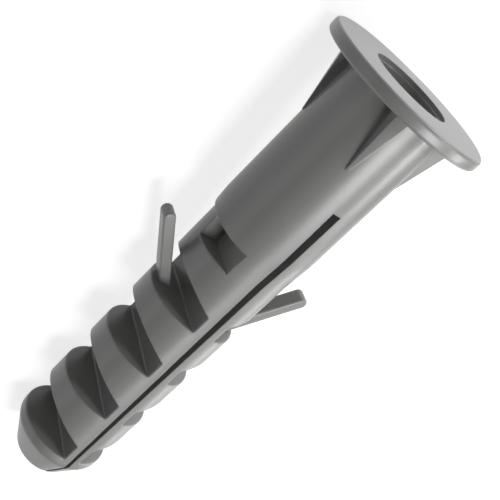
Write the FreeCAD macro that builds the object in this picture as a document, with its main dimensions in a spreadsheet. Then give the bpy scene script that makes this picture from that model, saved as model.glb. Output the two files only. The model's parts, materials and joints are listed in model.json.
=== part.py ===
import FreeCAD, Part
import math
import os

import Sketcher

# A 10 x 50 mm collared nylon wall plug, in millimetres and degrees. Axial places are
# measured from the outer face of the collar towards the tip.
SIZES = [
    ("plug_length", 50.0, "overall length, collar face to tip end"),
    ("sleeve_diameter", 10.0, "plain sleeve, the size of the drilled hole"),
    ("sleeve_straight", 16.5, "parallel stretch of the sleeve"),
    ("collar_diameter", 16.3, "collar that stops the plug at the wall"),
    ("collar_thickness", 1.15, "collar, face to underside"),
    ("collar_edge", 0.32, "rounding of both collar edges"),
    ("mouth_diameter", 7.6, "recess at the mouth of the screw bore"),
    ("mouth_depth", 0.4, "depth of that recess"),
    ("bore_diameter", 7.0, "screw bore inside the sleeve"),
    ("bore_depth", 16.0, "end of the parallel bore"),
    ("throat_diameter", 2.0, "core channel where the legs begin"),
    ("throat_place", 22.5, "where the bore has narrowed to the throat"),
    ("channel_end_diameter", 0.7, "core channel at its far end"),
    ("channel_end", 44.0, "where the core channel stops"),
    ("leg_start", 3.1, "where the sleeve has narrowed to the legs, from its parallel stretch"),
    ("leg_diameter", 9.6, "toothed legs at that place"),
    ("leg_end_diameter", 9.26, "toothed legs at the shoulder of the tip"),
    ("shoulder_place", 46.6, "where the tip cone begins"),
    ("tip_diameter", 5.4, "flat end of the tip"),
    ("tip_rounding", 1.0, "rounding of the shoulder and of the tip end"),
    ("slit_start", 10.7, "square upper end of the expansion slit"),
    ("slit_width", 0.88, "slit at its upper end"),
    ("slit_end_width", 0.3, "slit at the tip"),
    ("sleeve_end", 1.8, "end wall of the sleeve, from its parallel stretch"),
    ("sleeve_end_rounding", 0.22, "rounding of that end"),
    ("rim_first", 20.6, "front rim of the tooth nearest the sleeve"),
    ("tooth_pitch", 6.27, "from tooth to tooth"),
    ("notch_floor_length", 2.0, "flat floor of a notch along the axis"),
    ("notch_floor_height", 1.24, "first notch floor above the middle of the slit"),
    ("notch_floor_drop", 0.13, "how much lower each next notch floor lies"),
    ("notch_slope", 0.5, "run along the axis for each unit of rise of a tooth's back"),
    ("notch_root_radius", 0.15, "fillet between a notch floor and the tooth's face"),
    ("rim_rounding", 0.16, "rounding of the teeth's front rims"),
    ("pocket_floor_height", 2.75, "floor of a pocket above the middle of the slit"),
    ("pocket_reach", 0.2, "how far a pocket reaches past the middle of its leg"),
    ("strip_drop", 0.2, "how far the strip beside a pocket lies below its leg"),
    ("strip_edge", 1.5, "edge of that strip, from the middle of the slit"),
    ("gusset_turn", 27.8, "angle from a wing to the next gusset"),
    ("gusset_end", 7.25, "where a gusset runs out on the sleeve"),
    ("gusset_height", 1.2, "rise of a gusset over the sleeve, at the collar"),
    ("gusset_end_height", 0.1, "rise left where it runs out"),
    ("gusset_width", 2.15, "foot of a gusset at the collar"),
    ("gusset_top_width", 1.2, "outer face of a gusset at the collar"),
    ("gusset_end_width", 0.5, "gusset where it runs out"),
    ("wing_thickness", 1.1, "wing, inner face to outer face"),
    ("wing_width", 1.6, "wing across"),
    ("wing_offset", 1.25, "how far the wing's middle lies beside the leg's middle"),
    ("wing_root_height", 2.6, "wing's root above the middle of the slit"),
    ("wing_root_place", 27.7, "place of the wing's root along the axis"),
    ("wing_tip_height", 7.65, "centre of the round end above the middle of the slit"),
    ("wing_tip_place", 20.9, "place of the round end's centre along the axis"),
    ("wing_edge", 0.22, "rounding along the wing's long edges"),
    ("lying_turn", 16.0, "how far the slit leans over from straight up as the plug lies"),
]
TEETH = 5
GUSSETS = 4
CLEAR = 1.5
CLOSE = 1e-4

doc = FreeCAD.newDocument("wall_plug")
sheet = doc.addObject("Spreadsheet::Sheet", "Sizes")
for row, (alias, number, meaning) in enumerate(SIZES, start=1):
    sheet.set("A%d" % row, alias)
    sheet.set("B%d" % row, str(number))
    sheet.setAlias("B%d" % row, alias)
    sheet.set("C%d" % row, meaning)
doc.recompute()


class Size:
    # A number, together with the formula that binds it to the sheet.
    def __init__(self, number, formula):
        self.number = number
        self.formula = formula

    def __add__(self, other):
        other = as_size(other)
        return Size(self.number + other.number, "(%s + %s)" % (self.formula, other.formula))

    def __sub__(self, other):
        other = as_size(other)
        return Size(self.number - other.number, "(%s - %s)" % (self.formula, other.formula))

    def __mul__(self, other):
        other = as_size(other)
        return Size(self.number * other.number, "(%s * %s)" % (self.formula, other.formula))

    def __truediv__(self, other):
        other = as_size(other)
        return Size(self.number / other.number, "(%s / %s)" % (self.formula, other.formula))

    def __neg__(self):
        return Size(-self.number, "(0 - %s)" % self.formula)


def as_size(value):
    if isinstance(value, Size):
        return value
    return Size(float(value), "%.10g" % value)


def root(value):
    return Size(math.sqrt(value.number), "sqrt(%s)" % value.formula)


def size(alias):
    return Size(float(getattr(sheet, alias)), "Sizes." + alias)


sleeve_radius = size("sleeve_diameter") / 2
collar_radius = size("collar_diameter") / 2
leg_radius = size("leg_diameter") / 2
leg_end_radius = size("leg_end_diameter") / 2
leg_place = size("sleeve_straight") + size("leg_start")
end_wall = size("sleeve_straight") + size("sleeve_end")
tip_radius = size("tip_diameter") / 2
outside = collar_radius + CLEAR


def rim_place(tooth):
    return size("rim_first") + size("tooth_pitch") * tooth


def radius_at(place):
    # Outside radius at a place between the parallel sleeve and the shoulder.
    start, first, last = (at.number for at in (
        size("sleeve_straight"), leg_place, size("shoulder_place")))
    if place < first:
        share = (place - start) / (first - start)
        return sleeve_radius.number + (leg_radius - sleeve_radius).number * share
    share = (place - first) / (last - first)
    return leg_radius.number + (leg_end_radius - leg_radius).number * share


# Sketches: corners are bound to the sheet one by one, and an edge is an arc where a radius
# is given for it.
plug = doc.addObject("PartDesign::Body", "WallPlug")
plug.Label = "wall_plug"


def origin_item(role):
    return next(item for item in plug.Origin.OriginFeatures if item.Role == role)


def new_sketch(name, role):
    sketch = plug.newObject("Sketcher::SketchObject", name)
    sketch.AttachmentSupport = [(origin_item(role), "")]
    sketch.MapMode = "FlatFace"
    return sketch


def bind(sketch, constraint, value):
    number = sketch.addConstraint(constraint)
    sketch.setExpression("Constraints[%d]" % number, value.formula)


def bind_point(sketch, edge, end, x, y):
    x, y = as_size(x), as_size(y)
    if x.number == 0:
        sketch.addConstraint(Sketcher.Constraint("PointOnObject", edge, end, -2))
    else:
        bind(sketch, Sketcher.Constraint("DistanceX", -1, 1, edge, end, x.number), x)
    if y.number == 0:
        sketch.addConstraint(Sketcher.Constraint("PointOnObject", edge, end, -1))
    else:
        bind(sketch, Sketcher.Constraint("DistanceY", -1, 1, edge, end, y.number), y)


def arc_through(start, end, radius):
    # The shorter arc that turns left from start to end, or right for a negative radius.
    chord = end - start
    half = chord.Length / 2
    side = FreeCAD.Vector(-chord.y, chord.x, 0).normalize()
    rise = math.sqrt(radius * radius - half * half)
    centre = (start + end) / 2 + side * math.copysign(rise, radius)
    first = math.atan2(start.y - centre.y, start.x - centre.x)
    last = math.atan2(end.y - centre.y, end.x - centre.x)
    circle = Part.Circle(centre, FreeCAD.Vector(0, 0, 1), abs(radius))
    if radius > 0:
        return Part.ArcOfCircle(circle, first, last), 1, 2
    return Part.ArcOfCircle(circle, last, first), 2, 1


def outline(sketch, corners, arcs=None):
    arcs = arcs or {}
    points = [FreeCAD.Vector(as_size(x).number, as_size(y).number, 0) for x, y in corners]
    ends = []
    for here, start in enumerate(points):
        end = points[(here + 1) % len(points)]
        if here in arcs:
            arc, first, last = arc_through(start, end, arcs[here][1] * arcs[here][0].number)
            sketch.addGeometry(arc, False)
            ends.append((first, last))
        else:
            sketch.addGeometry(Part.LineSegment(start, end), False)
            ends.append((1, 2))
    for here in range(len(points)):
        following = (here + 1) % len(points)
        sketch.addConstraint(Sketcher.Constraint(
            "Coincident", here, ends[here][1], following, ends[following][0]))
    for here, (x, y) in enumerate(corners):
        bind_point(sketch, here, ends[here][0], x, y)
    for here, (radius, _) in arcs.items():
        bind(sketch, Sketcher.Constraint("Radius", here, radius.number), radius)


def feature(kind, name, **settings):
    item = plug.newObject("PartDesign::" + kind, name)
    for key, value in settings.items():
        setattr(item, key, value)
    doc.recompute()
    return item


def check_volume(before, after, grows):
    change = after.Shape.Volume - before.Shape.Volume
    if (change > 0) != grows or abs(change) < CLOSE:
        raise RuntimeError("%s changed nothing" % after.Label)


def pocket_across(sketch, name, base):
    item = feature("Pocket", name, Profile=sketch, Type="ThroughAll", Midplane=True)
    check_volume(base, item, grows=False)
    return item


def ring_edges(item, rings):
    # The round edges about the axis, by their place along it and their radius there.
    found = []
    for number, edge in enumerate(item.Shape.Edges, start=1):
        curve = edge.Curve
        if not isinstance(curve, Part.Circle):
            continue
        centre = curve.Center
        if math.hypot(centre.x, centre.y) > CLOSE:
            continue
        if any(abs(centre.z - place) < CLOSE and abs(curve.Radius - radius) < CLOSE
               for place, radius in rings.items()):
            found.append("Edge%d" % number)
    return found


def fillet(name, base, edges, radius):
    item = feature("Fillet", name, Base=(base, edges), Radius=radius.number, Refine=False)
    item.setExpression("Radius", radius.formula)
    doc.recompute()
    return item


def repeat(name, originals, count):
    item = feature("PolarPattern", name, Originals=originals, Axis=(origin_item("Z_Axis"), [""]),
                   Angle=360, Occurrences=count)
    plug.Tip = item
    doc.recompute()
    return item


def direction(start, end):
    run, rise = end[0] - start[0], end[1] - start[1]
    length = root(run * run + rise * rise)
    return run / length, rise / length


# Outer form: collar, sleeve, legs that taper a little, and the blunt cone of the tip, which
# the legs meet in an arc.
shoulder = leg_end_radius, size("shoulder_place")
leg_way = direction((leg_radius, leg_place), shoulder)
cone_way = direction(shoulder, (tip_radius, size("plug_length")))
setback = size("tip_rounding") * (
    (leg_way[0] * cone_way[1] - leg_way[1] * cone_way[0])
    / (leg_way[0] * cone_way[0] + leg_way[1] * cone_way[1] + 1))
arc_start = tuple(at - way * setback for at, way in zip(shoulder, leg_way))
arc_end = tuple(at + way * setback for at, way in zip(shoulder, cone_way))
turned_sketch = new_sketch("TurnedSketch", "YZ_Plane")
outline(turned_sketch, [
    (0, 0),
    (collar_radius, 0),
    (collar_radius, size("collar_thickness")),
    (sleeve_radius, size("collar_thickness")),
    (sleeve_radius, size("sleeve_straight")),
    (leg_radius, leg_place),
    arc_start,
    arc_end,
    (tip_radius, size("plug_length")),
    (0, size("plug_length")),
], {6: (size("tip_rounding"), 1)})
turned = feature("Revolution", "Turned", Profile=turned_sketch,
                 ReferenceAxis=(turned_sketch, ["V_Axis"]), Angle=360)
collar_rounding = fillet(
    "CollarRounding", turned,
    ring_edges(turned, {0: collar_radius.number,
                        size("collar_thickness").number: collar_radius.number}),
    size("collar_edge"))
tip_form = fillet(
    "TipRounding", collar_rounding,
    ring_edges(collar_rounding, {size("plug_length").number: tip_radius.number}),
    size("tip_rounding"))

# Screw bore: a shallow recess at the mouth, the parallel bore, a cone down to the throat and
# a core channel that narrows between the legs.
bore_sketch = new_sketch("BoreSketch", "YZ_Plane")
outline(bore_sketch, [
    (0, 0),
    (size("mouth_diameter") / 2, 0),
    (size("mouth_diameter") / 2, size("mouth_depth")),
    (size("bore_diameter") / 2, size("mouth_depth")),
    (size("bore_diameter") / 2, size("bore_depth")),
    (size("throat_diameter") / 2, size("throat_place")),
    (size("channel_end_diameter") / 2, size("channel_end")),
    (0, size("channel_end")),
])
bore = feature("Groove", "ScrewBore", Profile=bore_sketch,
               ReferenceAxis=(bore_sketch, ["V_Axis"]), Angle=360)
check_volume(tip_form, bore, grows=False)

# Gussets: four tapered ribs from under the collar that run out on the sleeve.
rib_root = sleeve_radius - size("gusset_height") / 2
gusset_ends = (
    (size("collar_thickness"), size("gusset_height"), size("gusset_width"),
     size("gusset_top_width")),
    (size("gusset_end"), size("gusset_end_height"), size("gusset_end_width"),
     size("gusset_end_width") / 2),
)
gusset_sketches = []
for number, (place, rise, foot, top) in enumerate(gusset_ends, start=1):
    sketch = new_sketch("GussetSketch%d" % number, "XY_Plane")
    sketch.AttachmentOffset = FreeCAD.Placement(
        FreeCAD.Vector(0, 0, place.number),
        FreeCAD.Rotation(FreeCAD.Vector(0, 0, 1), size("gusset_turn").number))
    sketch.setExpression("AttachmentOffset.Base.z", place.formula)
    sketch.setExpression("AttachmentOffset.Rotation.Angle", size("gusset_turn").formula)
    outline(sketch, [
        (rib_root, -foot / 2),
        (sleeve_radius + rise, -top / 2),
        (sleeve_radius + rise, top / 2),
        (rib_root, foot / 2),
    ])
    gusset_sketches.append(sketch)
gusset = feature("AdditiveLoft", "Gusset", Profile=gusset_sketches[0],
                 Sections=gusset_sketches[1:], Ruled=True)
check_volume(bore, gusset, grows=True)
gussets = repeat("Gussets", [gusset], GUSSETS)

# Expansion slit: square at its upper end, narrowing towards the tip, open through the tip.
slit_sketch = new_sketch("SlitSketch", "XZ_Plane")
slit_bottom = size("plug_length") + CLEAR
outline(slit_sketch, [
    (-size("slit_width") / 2, size("slit_start")),
    (size("slit_width") / 2, size("slit_start")),
    (size("slit_end_width") / 2, slit_bottom),
    (-size("slit_end_width") / 2, slit_bottom),
])
slit = pocket_across(slit_sketch, "Slit", gussets)

# Notches between the teeth: flat floor, steep face of the next tooth, sloping tooth back.
notches = []
base = slit
for tooth in range(1, TEETH):
    rim = rim_place(tooth)
    floor = size("notch_floor_height") - size("notch_floor_drop") * (tooth - 1)
    back = rim - size("notch_floor_length")
    radius = size("notch_root_radius")
    notch_sketch = new_sketch("NotchSketch%d" % tooth, "XZ_Plane")
    outline(notch_sketch, [
        (floor, back),
        (outside, back - (outside - floor) * size("notch_slope")),
        (outside, rim),
        (floor + radius, rim),
        (floor, rim - radius),
    ], {3: (radius, 1)})
    base = pocket_across(notch_sketch, "Notch%d" % tooth, base)
    notches.append(base)

# Pockets between the sleeve and the first tooth: one in each leg, on opposite sides, so that
# half of every leg runs on into the sleeve.
reach = size("pocket_reach")
floor = size("pocket_floor_height")


def sketch_at_sleeve_end(name):
    sketch = new_sketch(name, "XY_Plane")
    sketch.AttachmentOffset = FreeCAD.Placement(
        FreeCAD.Vector(0, 0, end_wall.number), FreeCAD.Rotation())
    sketch.setExpression("AttachmentOffset.Base.z", end_wall.formula)
    return sketch


def pocket_along(sketch, name, base, end):
    length = end - end_wall
    item = feature("Pocket", name, Profile=sketch, Type="Length", Length=length.number,
                   Reversed=True)
    item.setExpression("Length", length.formula)
    doc.recompute()
    check_volume(base, item, grows=False)
    return item


pocket_sketch = sketch_at_sleeve_end("PocketSketch")
outline(pocket_sketch, [
    (floor, -outside),
    (outside, -outside),
    (outside, reach),
    (floor, reach),
])
pocket = pocket_along(pocket_sketch, "LegPocket", base, size("rim_first"))
both_sides = repeat("NotchesBothSides", notches + [pocket], 2)

# A strip beside one pocket, from the sleeve over the first tooth, that lies a little lower.
strip = leg_radius - size("strip_drop")
edge = size("strip_edge")
strip_sketch = sketch_at_sleeve_end("StripSketch")
outline(strip_sketch, [
    (strip, 0),
    (edge, root(strip * strip - edge * edge)),
    (edge, outside),
    (outside, outside),
    (outside, 0),
], {0: (strip, 1)})
lowered = pocket_along(strip_sketch, "LoweredStrip", both_sides,
                       rim_place(1) - size("notch_floor_length") / 2)

# Rounded front rims of the teeth, and the rounded end of the sleeve.
rims = {rim_place(tooth).number: radius_at(rim_place(tooth).number) for tooth in range(TEETH)}
first_rim = {rim_place(0).number: rims.pop(rim_place(0).number)}
front_rims = fillet("RimRounding", lowered, ring_edges(lowered, rims), size("rim_rounding"))
first_rims = fillet("FirstRimRounding", front_rims, ring_edges(front_rims, first_rim),
                    size("rim_rounding"))
sleeve_end = fillet(
    "SleeveEndRounding", first_rims,
    ring_edges(first_rims, {end_wall.number: radius_at(end_wall.number)}),
    size("sleeve_end_rounding"))

# Wings: flat fingers with a round end that lean back towards the collar, one beside the
# middle of each leg, on opposite sides.
wing_sketch = new_sketch("WingSketch", "XZ_Plane")
wing_sketch.AttachmentOffset = FreeCAD.Placement(
    FreeCAD.Vector(0, 0, -size("wing_offset").number), FreeCAD.Rotation())
wing_sketch.setExpression("AttachmentOffset.Base.z", (-size("wing_offset")).formula)
half_wing = size("wing_thickness") / 2
wing_places = (
    (size("wing_root_height"), size("wing_root_place")),
    (size("wing_tip_height"), size("wing_tip_place")),
)
root_point, tip_point = (FreeCAD.Vector(x.number, y.number, 0) for x, y in wing_places)
lean = (tip_point - root_point).normalize()
across = FreeCAD.Vector(-lean.y, lean.x, 0) * half_wing.number
turn = math.atan2(across.y, across.x)
wing_sketch.addGeometry(Part.LineSegment(root_point - across, tip_point - across), False)
wing_sketch.addGeometry(Part.ArcOfCircle(
    Part.Circle(tip_point, FreeCAD.Vector(0, 0, 1), half_wing.number),
    turn - math.pi, turn), False)
wing_sketch.addGeometry(Part.LineSegment(tip_point + across, root_point + across), False)
wing_sketch.addGeometry(Part.ArcOfCircle(
    Part.Circle(root_point, FreeCAD.Vector(0, 0, 1), half_wing.number),
    turn, turn + math.pi), False)
for here, end, following, start in ((0, 2, 1, 1), (1, 2, 2, 1), (2, 2, 3, 1), (3, 2, 0, 1)):
    wing_sketch.addConstraint(Sketcher.Constraint("Tangent", here, end, following, start))
bind_point(wing_sketch, 1, 3, *wing_places[1])
bind_point(wing_sketch, 3, 3, *wing_places[0])
bind(wing_sketch, Sketcher.Constraint("Radius", 1, half_wing.number), half_wing)
wing = feature("Pad", "Wing", Profile=wing_sketch, Type="Length",
               Length=size("wing_width").number, Midplane=True)
wing.setExpression("Length", size("wing_width").formula)
doc.recompute()
check_volume(sleeve_end, wing, grows=True)
wings = repeat("Wings", [wing], 2)


def wing_edges(item):
    # The long edges of both wings and the arcs around their ends.
    found = []
    middle, half = size("wing_offset").number, size("wing_width").number / 2
    for number, edge in enumerate(item.Shape.Edges, start=1):
        sides = [abs(abs(vertex.Point.y) - middle) for vertex in edge.Vertexes]
        if any(abs(side - half) > CLOSE for side in sides):
            continue
        curve = edge.Curve
        if isinstance(curve, Part.Line):
            leaning = abs(abs(curve.Direction.x) - abs(lean.x)) < CLOSE
            if leaning and abs(curve.Direction.y) < CLOSE:
                found.append("Edge%d" % number)
        elif isinstance(curve, Part.Circle) and abs(curve.Radius - half_wing.number) < CLOSE:
            found.append("Edge%d" % number)
    return found


fillet("WingRounding", wings, wing_edges(wings), size("wing_edge"))
for item in doc.Objects:
    if "Invalid" in item.State or "Error" in item.State:
        raise RuntimeError("%s failed: %s" % (item.Name, item.State))

# The plug lies on its side with both wings clear of the ground: the rounded rim of the collar
# and the rounded shoulder of the tip touch it. A ring is the centre circle of such a rounding,
# as its radius and its place along the axis.
tip_round = size("tip_rounding").number
tip_ring = (arc_start[0].number - tip_round * leg_way[1].number,
            arc_start[1].number + tip_round * leg_way[0].number)
rim_round = size("collar_edge").number
rim_ring = (collar_radius.number - rim_round, size("collar_thickness").number - rim_round)
narrower, further = rim_ring[0] - tip_ring[0], rim_ring[1] - tip_ring[1]
tilt = math.atan2(further, narrower) + math.acos(
    (tip_round - rim_round) / math.hypot(narrower, further))
lying_turn = math.radians(size("lying_turn").number)
along = FreeCAD.Vector(0, 0, 1)
above = FreeCAD.Vector(-math.sin(lying_turn), -math.cos(lying_turn), 0)
forward = along * math.cos(tilt) + above * math.sin(tilt)
upward = above * math.cos(tilt) - along * math.sin(tilt)
sideways = upward.cross(forward)
lying = FreeCAD.Placement(FreeCAD.Matrix(
    *forward, 0, *sideways, 0, *upward, 0, 0, 0, 0, 1))
plug.Placement = lying
doc.recompute()
box = plug.Shape.optimalBoundingBox(False, False)
lying.Base = FreeCAD.Vector(-box.Center.x, -box.Center.y, -box.ZMin)
plug.Placement = lying
doc.recompute()

os.makedirs("parts", exist_ok=True)
if plug.Shape.isNull() or not plug.Shape.isValid():
    raise RuntimeError("wall_plug is not a valid solid")
plug.Shape.exportStep("parts/%s.step" % plug.Label)
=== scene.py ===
import json
import math

import bmesh
import bpy
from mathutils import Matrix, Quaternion, Vector


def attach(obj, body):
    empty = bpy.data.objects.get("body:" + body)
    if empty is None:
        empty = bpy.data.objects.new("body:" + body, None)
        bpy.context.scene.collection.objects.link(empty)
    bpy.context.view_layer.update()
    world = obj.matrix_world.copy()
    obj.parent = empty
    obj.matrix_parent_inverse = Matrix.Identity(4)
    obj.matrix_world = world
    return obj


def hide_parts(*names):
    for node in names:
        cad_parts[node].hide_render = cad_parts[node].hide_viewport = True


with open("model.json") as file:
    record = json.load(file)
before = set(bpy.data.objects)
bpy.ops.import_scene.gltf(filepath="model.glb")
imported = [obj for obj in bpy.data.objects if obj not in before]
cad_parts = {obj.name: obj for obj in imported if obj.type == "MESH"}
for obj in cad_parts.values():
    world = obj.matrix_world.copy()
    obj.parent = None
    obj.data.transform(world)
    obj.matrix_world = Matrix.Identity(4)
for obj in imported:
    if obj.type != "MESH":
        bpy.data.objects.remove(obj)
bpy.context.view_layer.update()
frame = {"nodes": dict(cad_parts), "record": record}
mm = 0.001


def linearColor(hexCode):
    # "#rrggbb" as an artist reads it, turned to the linear values that sockets take
    channels = [int(hexCode[at:at + 2], 16) / 255 for at in (1, 3, 5)]
    return tuple(c / 12.92 if c <= 0.04045 else ((c + 0.055) / 1.055) ** 2.4
                 for c in channels) + (1.0,)


def addNode(tree, kind, settings=None, links=None):
    # one node, its settings by name, its inputs by socket name: a value or another output
    node = tree.nodes.new(kind)
    for name, value in (settings or {}).items():
        setattr(node, name, value)
    for name, value in (links or {}).items():
        socket = node.inputs[name]
        if isinstance(value, bpy.types.NodeSocket):
            tree.links.new(value, socket)
        else:
            socket.default_value = value
    return node


# Polyamide, injection moulded and coloured through: a smooth, slightly waxy grey skin with a
# broad soft sheen, a very fine grain from the mould and faint clouds in its tone.
nylon = {
    "color": "#8d8d8c",
    "cloudColor": "#979796",
    "cloudMm": 7.0,
    "cloudDetail": 2.0,
    "grainMm": 0.4,
    "grainDetail": 3.0,
    "grainDepthMm": 0.008,
    "grainStrength": 0.4,
    "edgeRoundMm": 0.14,
    "edgeSamples": 4,
    "roughness": 0.33,
    "ior": 1.53,
}


def makeNylon():
    material = bpy.data.materials.new("moulded grey polyamide")
    material.use_nodes = True
    tree = material.node_tree
    tree.nodes.clear()
    place = addNode(tree, "ShaderNodeTexCoord").outputs["Object"]
    cloud = addNode(tree, "ShaderNodeTexNoise", links={
        "Vector": place, "Scale": 1 / (nylon["cloudMm"] * mm),
        "Detail": nylon["cloudDetail"]})
    color = addNode(tree, "ShaderNodeMixRGB", links={
        "Fac": cloud.outputs["Fac"], "Color1": linearColor(nylon["color"]),
        "Color2": linearColor(nylon["cloudColor"])})
    grain = addNode(tree, "ShaderNodeTexNoise", links={
        "Vector": place, "Scale": 1 / (nylon["grainMm"] * mm),
        "Detail": nylon["grainDetail"]})
    edges = addNode(tree, "ShaderNodeBevel", {"samples": nylon["edgeSamples"]}, {
        "Radius": nylon["edgeRoundMm"] * mm})
    bump = addNode(tree, "ShaderNodeBump", links={
        "Height": grain.outputs["Fac"], "Strength": nylon["grainStrength"],
        "Distance": nylon["grainDepthMm"] * mm, "Normal": edges.outputs["Normal"]})
    shader = addNode(tree, "ShaderNodeBsdfPrincipled", links={
        "Base Color": color.outputs["Color"], "Roughness": nylon["roughness"],
        "IOR": nylon["ior"], "Normal": bump.outputs["Normal"]})
    addNode(tree, "ShaderNodeOutputMaterial", links={"Surface": shader.outputs["BSDF"]})
    return material


# The moulding: the solid's own form, joined to one skin. Its round faces get the normals of
# the true turned form, so that they shade as smoothly as the real ones.
plug = {
    "weldMm": 0.0005,
    "softDegrees": 32.0,
    "turnedDegrees": 4.0,
}


def plugAxis():
    # the bore's mount gives a point on the plug's own axis, and its way
    bore = next(mount for mount in frame["record"]["mounts"] if mount["name"] == "screw_bore")
    return Vector(bore["pos_m"]), Vector(bore["axis"]).normalized()


def turnedNormal(normal, place, middle, axis):
    # the normal at a place on a turned surface that leans along the axis as this one does
    along = normal.dot(axis)
    outward = place - middle
    outward = (outward - axis * outward.dot(axis)).normalized()
    if normal.dot(outward) < 0:
        outward.negate()
    return outward * math.sqrt(max(0.0, 1 - along * along)) + axis * along


def skinNormals(skin):
    middle, axis = plugAxis()
    soft, turned = (math.cos(math.radians(plug[name])) for name in ("softDegrees", "turnedDegrees"))
    normals = []
    for face in skin.faces:
        center = face.calc_center_median()
        isTurned = face.normal.dot(turnedNormal(face.normal, center, middle, axis)) > turned
        for corner in face.loops:
            blend = Vector()
            for other in corner.vert.link_faces:
                if other.normal.dot(face.normal) > soft:
                    blend += other.normal * other.calc_area()
            blend.normalize()
            normals.append(turnedNormal(blend, corner.vert.co, middle, axis)
                           if isTurned else blend)
    return normals


def makePlug(material):
    source = frame["nodes"]["wall_plug"]
    mesh = source.data.copy()
    mesh.name = "plugSkin"
    skin = bmesh.new()
    skin.from_mesh(mesh)
    bmesh.ops.remove_doubles(skin, verts=skin.verts, dist=plug["weldMm"] * mm)
    skin.normal_update()
    normals = skinNormals(skin)
    skin.to_mesh(mesh)
    skin.free()
    mesh.materials.clear()
    mesh.materials.append(material)
    mesh.shade_smooth()
    mesh.normals_split_custom_set(normals)
    piece = bpy.data.objects.new("plugMoulding", mesh)
    bpy.context.scene.collection.objects.link(piece)
    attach(piece, "root")
    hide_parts("wall_plug")
    return piece


piece = makePlug(makeNylon())
print("moulding:", len(piece.data.polygons), "faces")

# White sweep under the plug: the camera and reflections see it white, and its own paper is
# darker, so that it throws little light back and the plug's soft shadow stays on it.
studio = {
    "floorMm": 6000.0,
    "floorColor": "#a2a2a2",
    "floorGlow": 0.79,
    "worldColor": "#ffffff",
    "worldStrength": 0.02,
}
# Soft boxes on a dome around the plug: degrees from straight up towards -Y, degrees towards +X,
# size in mm, watts.
lampDomeMm = 300.0
lamps = {
    "gloss strip, overhead": (1, 10, (120, 60), 0.45),
    "back box, head end": (-20, -25, (110, 60), 0.25),
    "back box, middle": (-45, 5, (110, 60), 0.26),
    "low back box, tip end": (-70, 30, (110, 60), 0.10),
    "low back box, head end": (-70, -60, (110, 60), 0.32),
    "front box, head end": (30, -25, (110, 60), 0.045),
    "overhead box, tip end": (3, 33, (80, 60), 0.11),
}
camera = {
    "placeMm": (-31.2202, -63.4612, 51.3805),
    "targetMm": (-4.0629, 3.0900, 4.9335),
    "rollDegrees": 144.4875,
    "lensMm": 67.852,
    "sensorMm": 36.0,
    "nearMm": 1.0,
}


def makeFloor():
    half = studio["floorMm"] / 2 * mm
    mesh = bpy.data.meshes.new("sweep")
    mesh.from_pydata([(-half, -half, 0), (half, -half, 0), (half, half, 0), (-half, half, 0)],
                     [], [(0, 1, 2, 3)])
    floor = bpy.data.objects.new("sweep", mesh)
    bpy.context.scene.collection.objects.link(floor)
    material = bpy.data.materials.new("white paper sweep")
    material.use_nodes = True
    tree = material.node_tree
    tree.nodes.clear()
    rays = addNode(tree, "ShaderNodeLightPath")
    seen = rays.outputs["Is Camera Ray"]
    for name in ("Is Glossy Ray", "Is Transmission Ray"):
        either = addNode(tree, "ShaderNodeMath", {"operation": "MAXIMUM"})
        tree.links.new(seen, either.inputs[0])
        tree.links.new(rays.outputs[name], either.inputs[1])
        seen = either.outputs[0]
    glow = addNode(tree, "ShaderNodeMath", {"operation": "MULTIPLY"})
    tree.links.new(seen, glow.inputs[0])
    glow.inputs[1].default_value = studio["floorGlow"]
    paper = addNode(tree, "ShaderNodeBsdfDiffuse", links={
        "Color": linearColor(studio["floorColor"])})
    light = addNode(tree, "ShaderNodeEmission", links={"Strength": glow.outputs[0]})
    both = addNode(tree, "ShaderNodeAddShader")
    tree.links.new(paper.outputs[0], both.inputs[0])
    tree.links.new(light.outputs[0], both.inputs[1])
    addNode(tree, "ShaderNodeOutputMaterial", links={"Surface": both.outputs[0]})
    mesh.materials.append(material)


def makeWorld():
    world = bpy.data.worlds.new("studio")
    bpy.context.scene.world = world
    world.use_nodes = True
    tree = world.node_tree
    tree.nodes.clear()
    light = addNode(tree, "ShaderNodeBackground", links={
        "Color": linearColor(studio["worldColor"]), "Strength": studio["worldStrength"]})
    addNode(tree, "ShaderNodeOutputWorld", links={"Surface": light.outputs[0]})


def makeLamps():
    for name, (lean, along, size, watts) in lamps.items():
        data = bpy.data.lights.new(name, "AREA")
        data.shape = "RECTANGLE"
        data.size, data.size_y = (side * mm for side in size)
        data.energy = watts
        lamp = bpy.data.objects.new(name, data)
        lean, along = math.radians(lean), math.radians(along)
        lamp.location = lampDomeMm * mm * Vector((
            math.sin(along), -math.sin(lean) * math.cos(along), math.cos(lean) * math.cos(along)))
        lamp.rotation_mode = "QUATERNION"
        lamp.rotation_quaternion = (-lamp.location).to_track_quat("-Z", "Y")
        bpy.context.scene.collection.objects.link(lamp)


def makeCamera():
    data = bpy.data.cameras.new("photo camera")
    data.lens = camera["lensMm"]
    data.sensor_width = camera["sensorMm"]
    data.clip_start = camera["nearMm"] * mm
    place, target = Vector(camera["placeMm"]) * mm, Vector(camera["targetMm"]) * mm
    view = bpy.data.objects.new("photo camera", data)
    view.location = place
    view.rotation_mode = "QUATERNION"
    view.rotation_quaternion = ((target - place).to_track_quat("-Z", "Y")
                                @ Quaternion((0, 0, 1), math.radians(camera["rollDegrees"])))
    bpy.context.scene.collection.objects.link(view)
    bpy.context.scene.camera = view


makeFloor()
makeWorld()
makeLamps()
makeCamera()
bpy.context.scene.view_settings.view_transform = "Standard"
print("studio: sweep,", len(lamps), "lamps and camera")

bpy.context.view_layer.update()
